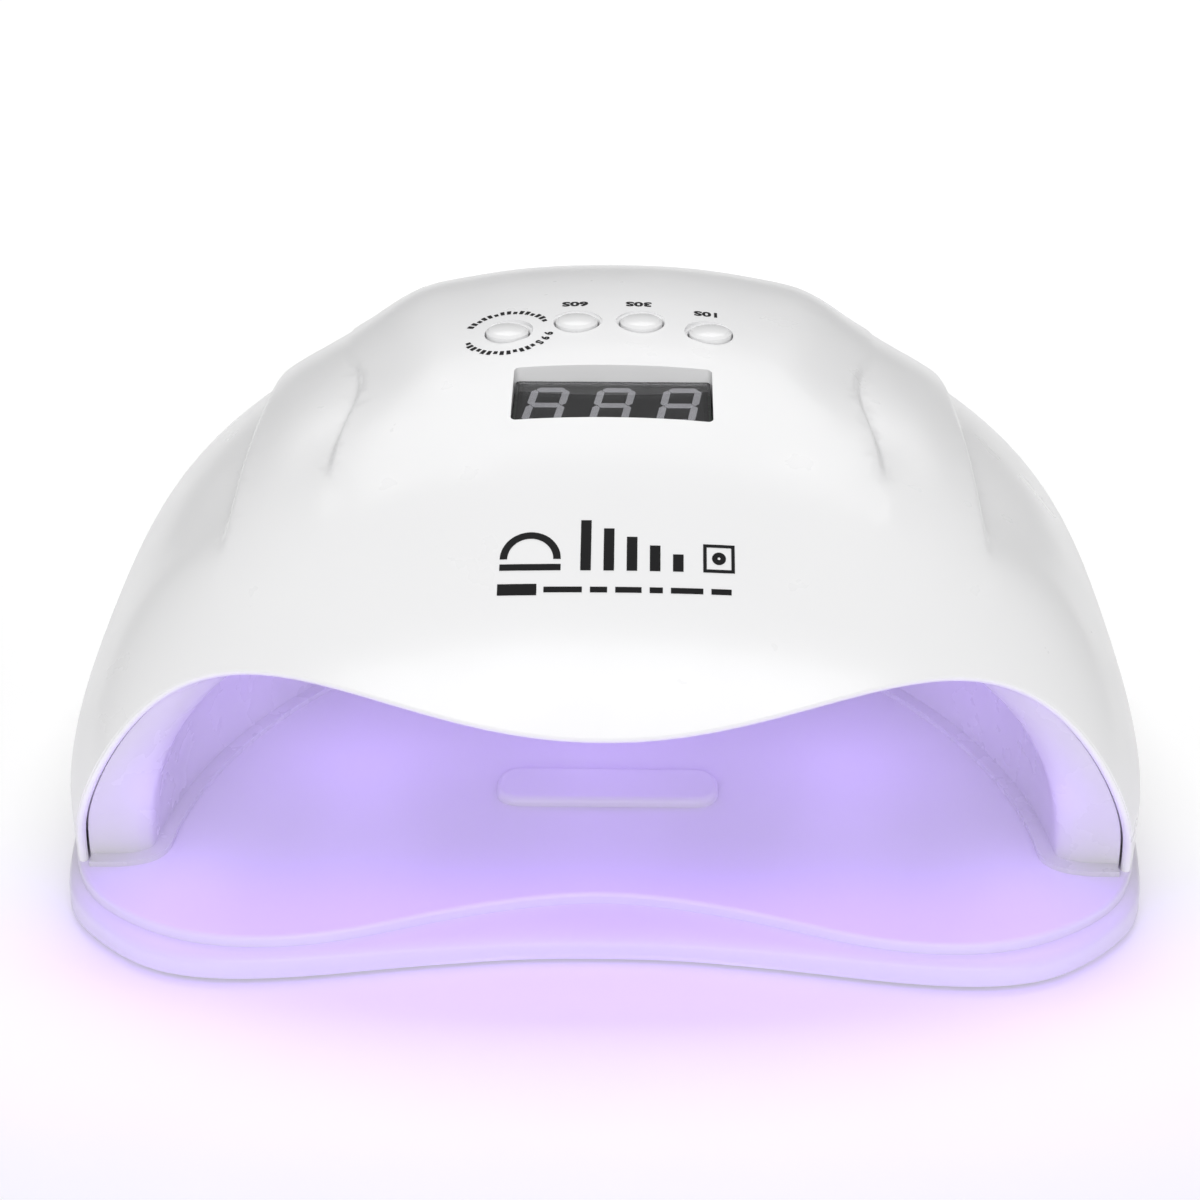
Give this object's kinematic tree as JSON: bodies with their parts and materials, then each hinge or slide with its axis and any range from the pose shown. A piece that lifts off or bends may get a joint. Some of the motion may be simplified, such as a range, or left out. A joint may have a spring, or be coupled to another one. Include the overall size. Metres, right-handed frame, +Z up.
{
  "type": "uv curing lamp",
  "caption": "Domed bench-top ultraviolet curing lamp with a wide hand opening, a display and push buttons on the crown, LEDs inside and a lift-off base tray.",
  "frame": {"origin": "bottom centre of the whole lamp, on the surface it stands on", "axes": "+X to the right seen from the hand opening, +Y from the opening to the back, +Z up"},
  "size_m": [0.2342, 0.2008, 0.1015],
  "materials": {
    "housing_white": "satin",
    "liner_white": "gloss",
    "tray_white": "satin",
    "button_white": "gloss",
    "foot_rubber": "matt",
    "magnet_nickel": "bright",
    "screw_steel": "zinc",
    "board_green": "solder mask",
    "switch_black": "matt",
    "can_aluminium": "bright",
    "connector_ivory": "matt",
    "smoke_glass": "polished",
    "foam_black": "foam",
    "display_black": "matt",
    "segment_grey": "frosted",
    "led_board": "white mask",
    "led_bead": "clear resin",
    "sensor_window": "gloss",
    "jack_black": "matt",
    "contact_metal": "bright",
    "power_wire": "PVC",
    "led_wire": "PVC"
  },
  "bodies": {
    "tray": {"base_tray": "tray_white", "rubber_feet": "foot_rubber", "tray_magnets": "magnet_nickel"},
    "lamp": {"top_shell": "housing_white", "reflector_liner": "liner_white", "lamp_magnets": "magnet_nickel", "case_screws": "screw_steel", "board_screws": "screw_steel", "control_board": "board_green", "tact_switches": "switch_black", "inductor": "switch_black", "chips": "switch_black", "capacitors": "can_aluminium", "connectors": "connector_ivory", "display_lens": "smoke_glass", "display_gasket": "foam_black", "display_module": "display_black", "display_segments": "segment_grey", "led_boards": "led_board", "leds_crown": "led_bead", "leds_shoulders": "led_bead", "leds_sides": "led_bead", "leds_rear": "led_bead", "hand_sensor": "sensor_window", "dc_jack": "jack_black", "jack_pin": "contact_metal", "jack_nut": "contact_metal", "power_leads": "power_wire", "led_leads": "led_wire"},
    "button_1": {"button_1": "button_white"},
    "button_2": {"button_2": "button_white"},
    "button_3": {"button_3": "button_white"},
    "button_4": {"button_4": "button_white"}
  },
  "joints": [
    {"name": "lamp_lift", "type": "slide", "parent": "tray", "child": "lamp", "axis": [0, 0, 1], "range_m": [0, 0.12]},
    {"name": "button_1_press", "type": "slide", "parent": "lamp", "child": "button_1", "axis": [0, 0, -1], "range_m": [0, 0.0006], "stiffness_N_per_m": 1500, "springref_m": -0.0005},
    {"name": "button_2_press", "type": "slide", "parent": "lamp", "child": "button_2", "axis": [0, 0, -1], "range_m": [0, 0.0006], "stiffness_N_per_m": 1500, "springref_m": -0.0005},
    {"name": "button_3_press", "type": "slide", "parent": "lamp", "child": "button_3", "axis": [0, 0, -1], "range_m": [0, 0.0006], "stiffness_N_per_m": 1500, "springref_m": -0.0005},
    {"name": "button_4_press", "type": "slide", "parent": "lamp", "child": "button_4", "axis": [0, 0, -1], "range_m": [0, 0.0006], "stiffness_N_per_m": 1500, "springref_m": -0.0005}
  ]
}
